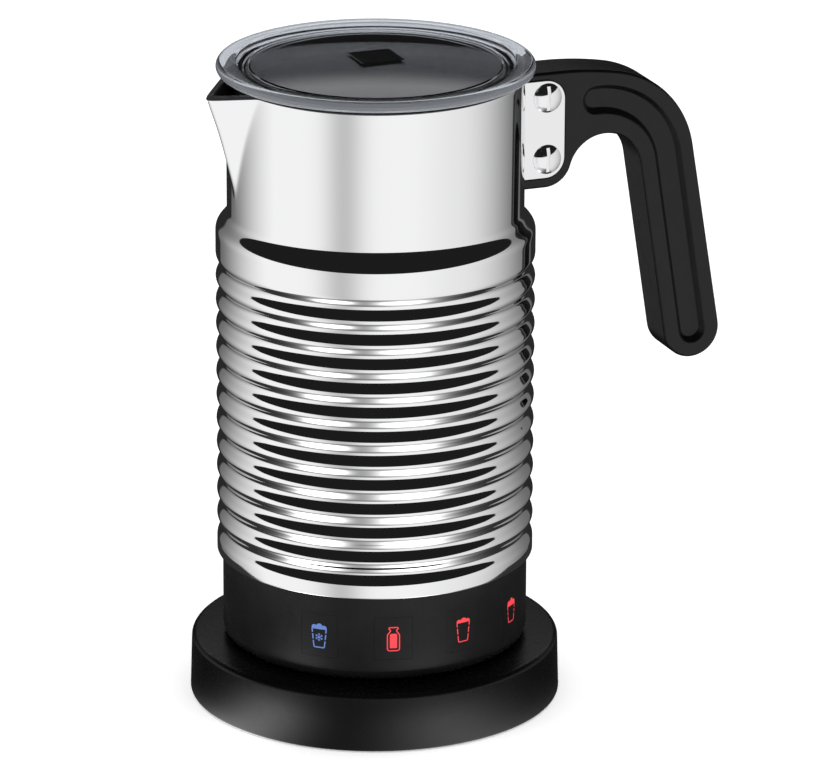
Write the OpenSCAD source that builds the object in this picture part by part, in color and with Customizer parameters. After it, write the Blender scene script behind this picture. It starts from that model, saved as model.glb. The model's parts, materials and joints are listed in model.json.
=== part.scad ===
// Electric milk frother: a steel jug with a handle and a press-in lid stands on an
// induction base, whose motor turns a magnetic whisk through the jug's floor.
// Millimetres, +Z up. The origin is on the jug's axis, on the surface it stands on.
// The handle points along +X, the spout along -X and the four buttons face -Y.

/* [Base] */
// Radius of the foot housing at its widest
foot_r = 58.9; // [54:0.1:62]
// Height of the foot housing's top face
foot_top = 19.2; // [18.5:0.1:20]
// Radius of the control housing
control_r = 48.3; // [48:0.1:48.6]
// Height of the control housing's top, where the jug stands
control_top = 47.5; // [47:0.1:48]

/* [Buttons] */
// Angle between neighbouring buttons
button_step = 28; // [26:1:30]
// Height of the middle of the buttons
button_z = 34; // [33:0.5:35]
// Width of a button
button_w = 12; // [9:0.5:13]
// Height of a button
button_h = 14; // [11:0.5:15]
// Gap round a button
button_gap = 0.1; // [0.1:0.05:0.3]

/* [Jug] */
// Radius at the crests of the ribs
rib_r = 50.1; // [50:0.1:50.5]
// Distance from one rib to the next
rib_pitch = 7.855; // [7.8:0.005:7.9]
// Depth of the grooves between the ribs
rib_depth = 1.5; // [1:0.1:1.8]
// Radius of the neck
neck_r = 46.5; // [46.4:0.1:46.6]
// Height of the jug's rim
rim_z = 203.9; // [203:0.1:205]
// Thickness of the steel
sheet = 0.8; // [0.7:0.1:0.9]

/* [Handle] */
// Thickness of the handle
handle_t = 15.2; // [14:0.2:17]
// Height of the handle's top edge
handle_top = 199.9; // [199:0.1:200.5]
// Depth of the grip groove in each side
groove_depth = 1.8; // [1:0.1:2.5]
// Width of the grip groove
groove_w = 9; // [7:0.5:10]

/* [Lid] */
// Radius of the lid
lid_r = 49.7; // [49:0.1:51]
// Height of the lid's rim
lid_top = 207.6; // [207:0.1:208.5]

/* [Hidden] */
$fn = 72;

eps = 0.01;

// Foot housing
foot_bottom = 0.3;
foot_wall = 2.2;
foot_ceiling = foot_top - 2.4;
foot_taper = 0.5;
foot_edge = 0.8;
foot_brow = 1.8;
foot_opening_r = 33;
cover_r = 55.4;
cover_top = 3.4;
cover_screw_ring = 50;
foot_pad_ring = 44;
foot_pad_r = 6;
foot_pad_sink = 0.6;
gland_z = 9.5;
gland_r = 4.5;
gland_bore_r = 3.2;
gland_flange_r = 5.8;
gland_inner = 53.2;
gland_outer = 61;

// Control housing
control_wall = 2.4;
control_round = 4;
control_floor = foot_top + 2;
control_floor_r = 34;
seat_opening_r = 39.6;
housing_screw_ring = 39.2;
housing_screw_angles = [90, 210, 330];
boss_top = 25;
seat_r = 39.5;
seat_top = 49.8;
seat_sheet = 1.6;
seat_flange_z = control_top - control_wall;

// Buttons, named by what each one starts, from the left seen from the front
button_angles = [for (i = [-1.5 : 1 : 1.5]) -90 + i * button_step];
button_travel = 0.6;
key_flange = 1.5;
key_r = control_r - control_wall;
plunger_r = 43.2;
guide_w = 8;
guide_h = 10;
guide_back = 44.4;
guide_face = control_r - 0.8;
guide_gap = 0.05;
carrier_r = 39.5;
carrier_wall = 1.4;
carrier_h = 21;
carrier_span = 52;

// Induction coil and motor, stacked under the seat plate
coil_z = 44.5;
coil_top = 47.8;
coil_r = 34;
coil_hole_r = 17;
former_r = 37.5;
former_z = 43.2;
ferrite_z = 40.4;
bracket_z = 38.4;
motor_r = 14;
motor_bottom = 22;
shaft_r = 1.5;
bush_r = 3;
sensor_pos = [-35.7, 0];
lead_ring = 30;

// Power board in the foot housing
board_x = 34;
board_y = 30;
board_z = 6;
board_t = 1.6;
board_top = board_z + board_t;
post_x = 29;
post_y = 25;

// Jug
shell_bottom = 47.8;
rib_first = 51.7;
rib_count = 12;
shoulder_z = 151.8;
neck_z = 161.2;
rib_groove_r = rib_r - rib_depth;
shoulder_crest = rib_first + rib_count * rib_pitch;
shell_top = rim_z - 0.7;
cup_r = 45.2;
cup_floor = 52;
cup_corner = 8;
spout_low = [-46.5, 0, 166.2];
spout_tip_x = -56.5;
spout_half = 15;
spout_join_x = -44;
spout_drop = 3.4;
spout_inset = 1.3; // how far the wedge moves along X for each mm that its walls move in
disc_z = 50.4;
disc_r = 38;
ring_inner = 40.4;
pin_r = 1.6;
pin_top = 64;

// Handle, drawn in the XZ plane
crown_r = 110;
crown_end = 79.3;
crown_centre = [58.5, handle_top - crown_r];
corner_r = 32.4;
corner_centre = crown_centre + (crown_r - corner_r) * [cos(crown_end), sin(crown_end)];
handle_end = [[105.5, 109.9], 9.5];
handle_inner = [[74.7, 165.7], 12.2];
handle_low = 162.3;
handle_heel_r = 9;
grip_tilt = 9.1;
groove_path = [[72.4, 165.3], 24.1];
groove_start = 93;
bracket_x = 60.5;
bracket_low = 165.6;
bracket_high = 197.5;
bracket_t = 1.1;
cheek_y = handle_t / 2 - 0.8;
cheek_out = cheek_y + bracket_t;
saddle_r = neck_r + 0.05;
saddle_t = 1.2;
screw_x = 54.5;
screw_zs = [171.8, 191.8];
screw_head_r = 4.75;
screw_head_h = 1.7;
screw_shank_r = 1.9;
sleeve_r = 3;
slot_w = 1.1;

// Lid
lid_under = 204.2;
lid_nose = (lid_top - lid_under) / 2;
skirt_r = 43;
skirt_wall = 1.6;
skirt_low = 197;
lid_dome_top = 208.7;
lid_valley_z = 206;
lid_valley_r = 39.6;
badge_size = [14, 13.6];
badge_t = 0.5;

// Whisk
hub_low = 55;
hub_disc_r = 12.8;
hub_fin_r = 14;
hub_fin_t = 1;
hub_disc_top = 60;
stem_top = 82;
spring_ring_r = 15.3;
spring_r = 1.9;
spring_wire_r = 0.4;
spring_turns = 36;
magnet_ring = 8.5;
magnet_r = 3;

// Points on an arc, from angle a0 to a1 in degrees
function arc(c, r, a0, a1, n = 12) =
  [for (i = [0 : n]) let (a = a0 + (a1 - a0) * i / n) c + r * [cos(a), sin(a)]];

// A step from 0 to 1, steep in the middle with long flat ends
function ease(t) = let (u = min(max(t, 0), 1))
  pow(u, 5) * (126 + u * (-420 + u * (540 + u * (-315 + 70 * u))));

// Radius of the outer shell at height z: a plain hem, ribs, a plain band, a shoulder and the neck
function shell_r(z) =
  z < rib_first || (z > shoulder_crest && z <= shoulder_z) ? rib_r :
  z <= shoulder_crest ?
    rib_r - rib_depth / 2 * (1 - cos(360 * (z - rib_first) / rib_pitch)) :
  rib_r - (rib_r - neck_r) * ease((z - shoulder_z) / (neck_z - shoulder_z));

rib_steps = 10;
shoulder_steps = 14;
shell_heights = concat([shell_bottom],
  [for (i = [0 : rib_count * rib_steps]) rib_first + i * rib_pitch / rib_steps],
  [for (i = [0 : shoulder_steps]) shoulder_z + (neck_z - shoulder_z) * i / shoulder_steps]);

// A ring with a square section, from radius r0 to r1 and height z0 to z1
module ring(r0, r1, z0, z1) {
  translate([0, 0, z0]) difference() {
    cylinder(r = r1, h = z1 - z0);
    translate([0, 0, -1]) cylinder(r = r0, h = z1 - z0 + 2);
  }
}

// An upright cylinder from z0 to z1
module post(p, r, z0, z1) {
  translate([p[0], p[1], z0]) cylinder(r = r, h = z1 - z0);
}

// A cylinder along Y, from y0 to y1, at x and z
module cross_pin(x, z, r, y0, y1) {
  translate([x, y0, z]) rotate([-90, 0, 0]) cylinder(r = r, h = y1 - y0);
}

// A plate in the XZ plane, extruded between y0 and y1
module side_plate(points, y0, y1) {
  translate([0, y1, 0]) rotate([90, 0, 0]) linear_extrude(y1 - y0) polygon(points);
}

// Copies its children round the Z axis
module around(angles) {
  for (a = angles) rotate([0, 0, a]) children();
}

quarter = [45, 135, 225, 315];

/* ---- base ---- */

module foot_housing() {
  rim_r = foot_r - foot_taper;
  color([0.05, 0.05, 0.05]) difference() {
    union() {
      rotate_extrude() polygon(concat(
        arc([foot_r - foot_edge, foot_bottom + foot_edge], foot_edge, -90, 0, 6),
        arc([rim_r - foot_brow, foot_top - foot_brow], foot_brow, 0, 90, 6),
        [[foot_opening_r, foot_top], [foot_opening_r, foot_ceiling],
         [rim_r - foot_wall, foot_ceiling], [cover_r + 0.5, foot_ceiling - 4],
         [cover_r + 0.1, foot_bottom]]));
      around(quarter) post([cover_screw_ring, 0], 3.2, cover_top, foot_ceiling + 1);
    }
    around(quarter) post([cover_screw_ring, 0], 1.25, cover_top - 1, foot_ceiling - 1);
    around(housing_screw_angles) post([housing_screw_ring, 0], 1.8, foot_ceiling - 1, foot_top + 1);
    cross_pin(0, gland_z, gland_r + 0.02, cover_r - 3, foot_r + 4);
  }
}

module bottom_cover() {
  color([0.07, 0.07, 0.07]) difference() {
    union() {
      post([0, 0], cover_r, foot_bottom, cover_top);
      for (x = [-post_x, post_x], y = [-post_y, post_y]) post([x, y], 2.6, cover_top - eps, board_z);
    }
    around(quarter) {
      post([cover_screw_ring, 0], 1.7, 0, cover_top + 1);
      post([cover_screw_ring, 0], 3, 0, foot_bottom + 1.2);
    }
    around([0, 90, 180, 270]) post([foot_pad_ring, 0], foot_pad_r + 0.02, 0, foot_bottom + foot_pad_sink);
    for (x = [-post_x, post_x], y = [-post_y, post_y]) post([x, y], 0.95, cover_top, board_z + 1);
    for (i = [-3 : 3]) translate([-15, i * 5 - 1, 0]) cube([30, 2, cover_top + 1]);
  }
}

module rubber_feet() {
  color([0.12, 0.12, 0.12]) around([0, 90, 180, 270])
    post([foot_pad_ring, 0], foot_pad_r, 0, foot_bottom + foot_pad_sink);
}

module cover_screws() {
  color([0.6, 0.6, 0.62]) around(quarter) difference() {
    union() {
      post([cover_screw_ring, 0], 2.8, foot_bottom + 0.1, foot_bottom + 1.2);
      post([cover_screw_ring, 0], 1.2, foot_bottom + 1, foot_ceiling - 3);
    }
    translate([cover_screw_ring - 2, -0.35, 0]) cube([4, 0.7, foot_bottom + 0.6]);
    translate([cover_screw_ring - 0.35, -2, 0]) cube([0.7, 4, foot_bottom + 0.6]);
  }
}

module cord_gland() {
  color([0.1, 0.1, 0.1]) difference() {
    union() {
      cross_pin(0, gland_z, gland_r, gland_inner, gland_outer);
      cross_pin(0, gland_z, gland_flange_r, gland_inner, gland_inner + 1.6);
    }
    cross_pin(0, gland_z, gland_bore_r, gland_inner - 1, gland_outer + 1);
  }
}

// A block of width w and height h, centred on a button, from radius r0 to r1
module button_block(w, h, r0, r1) {
  translate([r0, -w / 2, button_z - h / 2]) cube([r1 - r0, w, h]);
}

module control_housing() {
  color([0.06, 0.06, 0.06]) difference() {
    union() {
      rotate_extrude() polygon(concat(
        [[control_floor_r, control_floor], [control_floor_r, foot_top]],
        arc([control_r - control_round, foot_top + control_round], control_round, -90, 0, 8),
        [[control_r, control_top - 0.5], [control_r - 0.5, control_top], [seat_opening_r, control_top],
         [seat_opening_r, seat_flange_z], [key_r, seat_flange_z], [key_r, control_floor + 2],
         [key_r - 2, control_floor]]));
      around(housing_screw_angles) post([housing_screw_ring, 0], 3.4, foot_top, boss_top);
    }
    around(housing_screw_angles) post([housing_screw_ring, 0], 1.25, foot_top - 1, boss_top - 1);
    around(button_angles) button_block(button_w, button_h, key_r - 2, control_r + 2);
  }
}

module housing_screws() {
  color([0.6, 0.6, 0.62]) around(housing_screw_angles) difference() {
    union() {
      post([housing_screw_ring, 0], 3, foot_ceiling - 1.6, foot_ceiling);
      post([housing_screw_ring, 0], 1.2, foot_ceiling - eps, boss_top - 2);
    }
    translate([housing_screw_ring - 2, -0.35, foot_ceiling - 2]) cube([4, 0.7, 1.4]);
    translate([housing_screw_ring - 0.35, -2, foot_ceiling - 2]) cube([0.7, 4, 1.4]);
  }
}

module seat_plate() {
  color([0.04, 0.04, 0.05]) rotate_extrude() polygon(concat(
    [[0, seat_top - seat_sheet], [seat_r - seat_sheet, seat_top - seat_sheet],
     [seat_r - seat_sheet, seat_flange_z - 1.4], [key_r - 0.5, seat_flange_z - 1.4],
     [key_r - 0.5, seat_flange_z], [seat_r, seat_flange_z]],
    arc([seat_r - 0.8, seat_top - 0.8], 0.8, 0, 90, 4), [[0, seat_top]]));
}

module coil_former() {
  color([0.85, 0.82, 0.72]) difference() {
    ring(coil_hole_r - 1, former_r, former_z, coil_z);
    post(sensor_pos, 1.3, former_z - 1, coil_z + 1);
  }
}

module induction_coil() {
  turns = 6;
  step = (coil_r - coil_hole_r) / turns;
  color([0.72, 0.38, 0.2]) rotate_extrude() union() {
    for (i = [0 : turns - 1]) translate([coil_hole_r + (i + 0.5) * step, (coil_z + coil_top) / 2])
      circle(r = step / 2);
    translate([coil_hole_r + step / 2, coil_z]) square([coil_r - coil_hole_r - step, 2.2]);
  }
}

module ferrite_bars() {
  color([0.2, 0.2, 0.21]) around([for (i = [0 : 5]) i * 60 + 30])
    translate([coil_hole_r, -3, ferrite_z]) cube([18, 6, former_z - ferrite_z]);
}

module motor_bracket() {
  color([0.7, 0.72, 0.74]) difference() {
    union() {
      post([0, 0], 22, bracket_z, ferrite_z);
      around([for (i = [0 : 5]) i * 60 + 30]) translate([0, -4, bracket_z]) cube([coil_hole_r + 20, 8, 2]);
    }
    post([0, 0], bush_r + 0.1, bracket_z - 1, ferrite_z + 1);
    around([0, 180]) post([9, 0], 1.4, bracket_z - 1, ferrite_z + 1);
  }
}

module motor_screws() {
  color([0.6, 0.6, 0.62]) around([0, 180]) {
    post([9, 0], 2.4, ferrite_z, ferrite_z + 1.5);
    post([9, 0], 1.3, bracket_z - 1.3, ferrite_z + eps);
  }
}

module motor_can() {
  color([0.66, 0.67, 0.68]) difference() {
    post([0, 0], motor_r, motor_bottom, bracket_z);
    post([0, 0], motor_r - 1, motor_bottom + 1.5, bracket_z - 1.5);
    post([0, 0], bush_r, motor_bottom - 1, bracket_z + 1);
    around([0, 180]) post([9, 0], 1.3, bracket_z - 3, bracket_z + 1);
  }
}

module motor_stator() {
  color([0.6, 0.33, 0.18]) union() {
    ring(10.5, motor_r - 1, 25, 35);
    around([for (i = [0 : 5]) i * 60]) translate([8.8, -2.5, 26]) cube([3, 5, 8]);
  }
}

module motor_bushes() {
  color([0.7, 0.52, 0.25]) {
    ring(shaft_r + 0.05, bush_r, motor_bottom, motor_bottom + 2.2);
    ring(shaft_r + 0.05, bush_r, bracket_z - 1.5, bracket_z + 2);
  }
}

module temperature_sensor() {
  color([0.85, 0.8, 0.7]) union() {
    post(sensor_pos, 1.2, former_z - 2, seat_top - seat_sheet - 0.2);
    post(sensor_pos, 0.5, former_z - 5, former_z - 2 + eps);
  }
}

module switch_carrier() {
  color([0.12, 0.35, 0.2]) rotate([0, 0, -90 - carrier_span]) translate([0, 0, control_floor])
    rotate_extrude(angle = 2 * carrier_span)
      translate([carrier_r - carrier_wall, 0]) square([carrier_wall, carrier_h]);
}

module tact_switches() {
  color([0.25, 0.25, 0.27]) around(button_angles) union() {
    translate([carrier_r, -3, button_z - 3]) cube([2.2, 6, 6]);
    translate([carrier_r + 2.2 - eps, 0, button_z]) rotate([0, 90, 0]) cylinder(r = 1.7, h = 0.8);
  }
}

module button_leds() {
  color([0.95, 0.9, 0.85]) around(button_angles)
    translate([carrier_r, -1.4, button_z + 4]) cube([1, 2.8, 2]);
}

module power_board() {
  color([0.1, 0.35, 0.18]) difference() {
    translate([-board_x, -board_y, board_z]) cube([2 * board_x, 2 * board_y, board_t]);
    for (x = [-post_x, post_x], y = [-post_y, post_y]) post([x, y], 1.3, board_z - 1, board_top + 1);
  }
}

module board_screws() {
  color([0.6, 0.6, 0.62]) for (x = [-post_x, post_x], y = [-post_y, post_y]) {
    post([x, y], 2.2, board_top, board_top + 1.3);
    post([x, y], 0.9, cover_top + 0.4, board_top + eps);
  }
}

module filter_capacitor() {
  color([0.15, 0.2, 0.35]) post([-20, 6], 7, board_top, foot_ceiling - 0.6);
}

module choke() {
  color([0.55, 0.3, 0.15]) translate([-6, 0, 0]) ring(3, 7, board_top, board_top + 6.5);
}

module heat_sink() {
  color([0.75, 0.76, 0.78]) union() {
    translate([8, -16, board_top]) cube([20, 24, 1.6]);
    for (i = [0 : 6]) translate([8 + i * 3.1, -16, board_top]) cube([1.3, 24, 7]);
  }
}

module terminal_block() {
  color([0.15, 0.4, 0.2]) difference() {
    translate([-8, 20, board_top]) cube([16, 8, 7]);
    for (x = [-4, 4]) cross_pin(x, board_top + 3, 1.5, 22, 29);
  }
}

module coil_leads() {
  color([0.75, 0.2, 0.15]) around([0, 180]) post([lead_ring, 0], 1.1, board_top, former_z);
}

/* ---- buttons ---- */

// One key: a curved face and a lip behind the window, hollowed for its light guide
module button(i) {
  g = button_gap;
  color([0.07, 0.07, 0.07]) rotate([0, 0, button_angles[i]]) difference() {
    union() {
      intersection() {
        ring(key_r - 0.3, control_r, button_z - 20, button_z + 20);
        button_block(button_w - 2 * g, button_h - 2 * g, key_r - 8, control_r + 2);
      }
      intersection() {
        ring(key_r - 0.2 - key_flange, key_r - 0.2, button_z - 20, button_z + 20);
        button_block(button_w + 2, button_h + 2, key_r - 8, control_r + 2);
      }
    }
    button_block(guide_w + 2 * guide_gap, guide_h + 2 * guide_gap, key_r - 8, guide_face + guide_gap);
  }
}

// The clear light guide behind a key's icon, with the plunger that presses the switch
module light_guide(i) {
  color([0.9, 0.9, 0.86]) rotate([0, 0, button_angles[i]]) union() {
    button_block(guide_w, guide_h, guide_back, guide_face);
    translate([plunger_r, 0, button_z]) rotate([0, 90, 0]) cylinder(r = 1.6, h = guide_back - plunger_r + 1);
  }
}

/* ---- rotor ---- */

module motor_shaft() {
  color([0.78, 0.78, 0.8]) post([0, 0], shaft_r, motor_bottom + 0.4, coil_top - 1.6);
}

module motor_armature() {
  color([0.45, 0.45, 0.47]) ring(shaft_r, 8.2, 25.5, 34.5);
}

module magnet_carrier() {
  color([0.85, 0.85, 0.83]) difference() {
    post([0, 0], 14.5, coil_z, coil_top - 0.4);
    post([0, 0], shaft_r, coil_z - 1, coil_top - 1.6);
    around([0, 90, 180, 270]) post([magnet_ring, 0], magnet_r + 0.4, coil_z + 0.8, coil_top + 1);
  }
}

module drive_magnets() {
  color([0.7, 0.7, 0.72]) around([0, 90, 180, 270])
    post([magnet_ring, 0], magnet_r + 0.4, coil_z + 0.8, coil_top - 0.4);
}

/* ---- jug ---- */

// The spout's wedge, moved along X by dx to thin it, with its top at height z
module spout_wedge(dx, z) {
  lift = (z - spout_low[2]) / (rim_z - spout_low[2]);
  tip = [spout_low[0] + (spout_tip_x - spout_low[0]) * lift, 0, z];
  side = [spout_low[0] + (spout_join_x - spout_low[0]) * lift, spout_half * lift, z];
  back = 6;
  translate([dx, 0, 0]) hull() polyhedron(
    [spout_low, tip, side, [side[0], -side[1], z],
     [side[0] + back, side[1], z], [side[0] + back, -side[1], z], spout_low + [back, 0, 0]],
    [[0, 1, 2], [0, 3, 1], [1, 3, 5, 4, 2], [0, 2, 4, 6], [0, 6, 5, 3], [4, 5, 6]]);
}

// What is cut off the top of the spout, so that its edge drops towards the tip
module spout_trim(z) {
  drop = spout_drop / (spout_join_x - spout_tip_x);
  side_plate([[spout_join_x, z], [spout_join_x - 20, z - 20 * drop],
              [spout_join_x - 20, z + 5], [spout_join_x, z + 5]], -30, 30);
}

module outer_shell() {
  color([0.82, 0.82, 0.83]) difference() {
    union() {
      rotate_extrude() polygon(concat([for (z = shell_heights) [shell_r(z), z]],
        [[neck_r, shell_top], [neck_r - 5, shell_top], [neck_r - 5, shell_bottom]]));
      spout_wedge(0, shell_top);
    }
    rotate_extrude() polygon(concat([[0, shell_bottom - 1], [rib_r - sheet, shell_bottom - 1]],
      [for (z = shell_heights) [shell_r(z) - sheet, z]], [[neck_r - sheet, rim_z + 1], [0, rim_z + 1]]));
    translate([0, 0, eps]) spout_wedge(spout_inset * sheet, shell_top);
    spout_trim(shell_top);
  }
}

module inner_cup() {
  wall = cup_r - sheet;
  color([0.08, 0.08, 0.08]) difference() {
    union() {
      rotate_extrude() polygon(concat([[0, cup_floor]],
        arc([cup_r - cup_corner, cup_floor + cup_corner], cup_corner, -90, 0, 8),
        [[cup_r, shell_top], [neck_r + 0.2, shell_top], [neck_r + 0.2, rim_z], [0, rim_z]]));
      spout_wedge(spout_inset * (sheet + 0.3), rim_z);
      intersection() {
        spout_wedge(-0.3, rim_z);
        post([0, 0], 80, shell_top, rim_z);
      }
    }
    rotate_extrude() polygon(concat([[0, cup_floor + 1]],
      arc([wall - cup_corner + 1, cup_floor + cup_corner], cup_corner - 1, -90, 0, 8),
      [[wall, rim_z + 1], [0, rim_z + 1]]));
    translate([0, 0, eps]) spout_wedge(spout_inset * (2 * sheet + 0.3), rim_z);
    spout_trim(rim_z);
    post([0, 0], pin_r, cup_floor - 1, cup_floor + 2);
  }
}

module induction_disc() {
  color([0.6, 0.6, 0.61]) post([0, 0], disc_r, disc_z, cup_floor);
}

module jug_base_ring() {
  edge = rib_r - sheet - 0.05;
  color([0.05, 0.05, 0.05]) rotate_extrude() polygon([[ring_inner, control_top],
    [edge - 1, control_top], [edge, shell_bottom], [edge, shell_bottom + 3], [ring_inner, cup_floor]]);
}

module whisk_pin() {
  color([0.8, 0.8, 0.82]) union() {
    post([0, 0], pin_r, cup_floor, pin_top - pin_r);
    translate([0, 0, pin_top - pin_r]) sphere(r = pin_r);
    post([0, 0], 4.5, cup_floor + 1, cup_floor + 2.4);
  }
}

// The centre of the rounded corner under the bracket, and where it meets the inner arc
function heel_centre() = let (reach = handle_inner[1] + handle_heel_r,
  dz = handle_low + handle_heel_r - handle_inner[0][1])
  [handle_inner[0][0] - sqrt(reach * reach - dz * dz), handle_low + handle_heel_r];
function heel_angle() = let (d = heel_centre() - handle_inner[0]) atan2(d[1], d[0]);

// The side view of the handle, from its top at the jug clockwise to its bottom
handle_outline = concat([[neck_r - 2, handle_top]],
  arc(crown_centre, crown_r, 90, crown_end, 6),
  arc(corner_centre, corner_r, crown_end, grip_tilt, 20),
  arc(handle_end[0], handle_end[1], grip_tilt, grip_tilt - 180, 20),
  arc(handle_inner[0], handle_inner[1], grip_tilt, heel_angle(), 24),
  arc(heel_centre(), handle_heel_r, heel_angle() - 180, -90, 12),
  [[neck_r - 2, handle_low]]);

// The grip groove's outline, a slot of width w round its centre line
function groove_outline(w) =
  let (top = groove_path[0] + groove_path[1] * [cos(groove_start), sin(groove_start)])
  concat(arc(top, w / 2, groove_start + 180, groove_start, 12),
    arc(groove_path[0], groove_path[1] + w / 2, groove_start, grip_tilt, 20),
    arc(handle_end[0], w / 2, grip_tilt, grip_tilt - 180, 12),
    arc(groove_path[0], groove_path[1] - w / 2, grip_tilt, groove_start, 20));

module handle() {
  side = handle_t / 2;
  color([0.07, 0.07, 0.07]) difference() {
    side_plate(handle_outline, -side, side);
    post([0, 0], saddle_r, handle_low - 1, handle_top + 1);
    post([0, 0], saddle_r + saddle_t, bracket_low - 0.1, bracket_high + 0.1);
    for (s = [-1, 1]) {
      y = [s * side, s * (side - groove_depth)];
      side_plate(groove_outline(groove_w), min(y) - (s < 0 ? 1 : 0), max(y) + (s > 0 ? 1 : 0));
      c = [s * cheek_y, s * (side + 1)];
      side_plate(bracket_outline(0.4), min(c), max(c));
    }
    for (z = screw_zs) cross_pin(screw_x, z, sleeve_r + 0.1, -side - 1, side + 1);
  }
}

// The cheek's outline, grown by g
function bracket_outline(g) = let (r = 6.5, x = bracket_x + g, low = bracket_low - g, high = bracket_high + g)
  concat([[neck_r - 2, low]], arc([x - r, low + r], r, -90, 0, 8),
    arc([x - r, high - r], r, 0, 90, 8), [[neck_r - 2, high]]);

module handle_bracket() {
  color([0.8, 0.8, 0.81]) difference() {
    union() {
      intersection() {
        ring(saddle_r, saddle_r + saddle_t, bracket_low, bracket_high);
        translate([40, -cheek_out, bracket_low]) cube([12, 2 * cheek_out, bracket_high - bracket_low]);
      }
      difference() {
        for (y = [-cheek_out, cheek_y]) side_plate(bracket_outline(0), y, y + bracket_t);
        post([0, 0], saddle_r, bracket_low - 1, bracket_high + 1);
      }
    }
    for (z = screw_zs) {
      cross_pin(screw_x, z, screw_shank_r + 0.1, -cheek_out - 1, 0);
      cross_pin(screw_x, z, sleeve_r + 0.1, 0, cheek_out + 1);
    }
  }
}

// A slotted dome head on the plane y = 0, standing out towards -Y
module dome_head() {
  cap_r = (screw_head_r * screw_head_r + screw_head_h * screw_head_h) / (2 * screw_head_h);
  difference() {
    intersection() {
      translate([0, cap_r - screw_head_h, 0]) sphere(r = cap_r);
      cross_pin(0, 0, screw_head_r, -screw_head_h - 1, 0);
    }
    translate([-slot_w / 2, -screw_head_h - 1, -screw_head_r - 1])
      cube([slot_w, 1.9, 2 * screw_head_r + 2]);
  }
}

module handle_screws() {
  color([0.82, 0.82, 0.83]) for (z = screw_zs) {
    translate([screw_x, -cheek_out, z]) dome_head();
    cross_pin(screw_x, z, screw_shank_r, -cheek_out - eps, 3);
  }
}

module handle_sleeve_nuts() {
  color([0.82, 0.82, 0.83]) for (z = screw_zs) difference() {
    union() {
      translate([screw_x, cheek_out, z]) mirror([0, 1, 0]) dome_head();
      cross_pin(screw_x, z, sleeve_r, -cheek_y + 0.3, cheek_out + eps);
    }
    cross_pin(screw_x, z, screw_shank_r, -cheek_y - 1, 5);
  }
}

/* ---- lid ---- */

module lid_disc() {
  dome_r = lid_valley_r - 0.4;
  rise = lid_dome_top - lid_valley_z - 0.4;
  cap_r = (dome_r * dome_r + rise * rise) / (2 * rise);
  half = asin(dome_r / cap_r);
  under = 2.2;
  color([0.25, 0.26, 0.28, 0.55]) difference() {
    rotate_extrude() polygon(concat(
      [[0, lid_dome_top - under], [lid_valley_r - 2, lid_valley_z - 1.6],
       [skirt_r - skirt_wall, lid_under - 0.6], [skirt_r - skirt_wall, skirt_low], [skirt_r, skirt_low],
       [skirt_r, lid_under]],
      arc([lid_r - lid_nose, lid_under + lid_nose], lid_nose, -90, 90, 12),
      [[43.6, lid_top - 0.2], [43, lid_valley_z + 0.4], [42.6, lid_valley_z], [lid_valley_r, lid_valley_z]],
      arc([0, lid_dome_top - cap_r], cap_r, 90 - half, 90, 16)));
    badge_block(0, badge_t + 1);
    ring(skirt_r - 0.4, skirt_r + 1, skirt_low + 1, skirt_low + 5);
  }
}

module lid_seal() {
  color([0.08, 0.08, 0.08]) rotate_extrude() polygon([[skirt_r - 0.4, skirt_low + 1],
    [skirt_r + 0.3, skirt_low + 1], [skirt_r + 1.1, skirt_low + 2], [skirt_r + 0.4, skirt_low + 2.6],
    [skirt_r + 0.4, skirt_low + 3.4], [skirt_r + 1.1, skirt_low + 4], [skirt_r + 0.3, skirt_low + 5],
    [skirt_r - 0.4, skirt_low + 5]]);
}

// The badge's block, smaller by g on each side and h high
module badge_block(g, h) {
  size = badge_size - [2 * g, 2 * g];
  translate([-size[0] / 2, -size[1] / 2, lid_dome_top - badge_t]) cube([size[0], size[1], h]);
}

module lid_badge() {
  color([0.02, 0.02, 0.02]) badge_block(0.05, badge_t);
}

/* ---- whisk ---- */

module whisk_bush() {
  color([0.85, 0.85, 0.82]) ring(pin_r + 0.06, pin_r + 1, hub_low - 0.2, pin_top - 1);
}

module whisk_hub() {
  bore = pin_r + 1.06;
  color([0.07, 0.07, 0.07]) difference() {
    union() {
      rotate_extrude() polygon([[0, hub_low], [hub_disc_r - 1, hub_low], [hub_disc_r, hub_low + 1],
        [hub_disc_r, hub_disc_top - 1.5], [hub_disc_r - 1.5, hub_disc_top], [6, hub_disc_top + 1.5],
        [4.4, hub_disc_top + 6], [3.2, stem_top - 8], [3.2, stem_top - 6], [4.6, stem_top - 4],
        [4.6, stem_top - 1], [3.8, stem_top], [0, stem_top]]);
      around([for (i = [0 : 5]) i * 60 + 30]) translate([hub_disc_r - 1, -hub_fin_t / 2, hub_low + 0.6])
        cube([hub_fin_r - hub_disc_r + 1, hub_fin_t, 3.8]);
    }
    post([0, 0], bore, hub_low - 1, pin_top + 0.6);
    around([0, 90, 180, 270]) post([magnet_ring, 0], magnet_r, hub_low - 1, hub_low + 3);
  }
}

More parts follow.
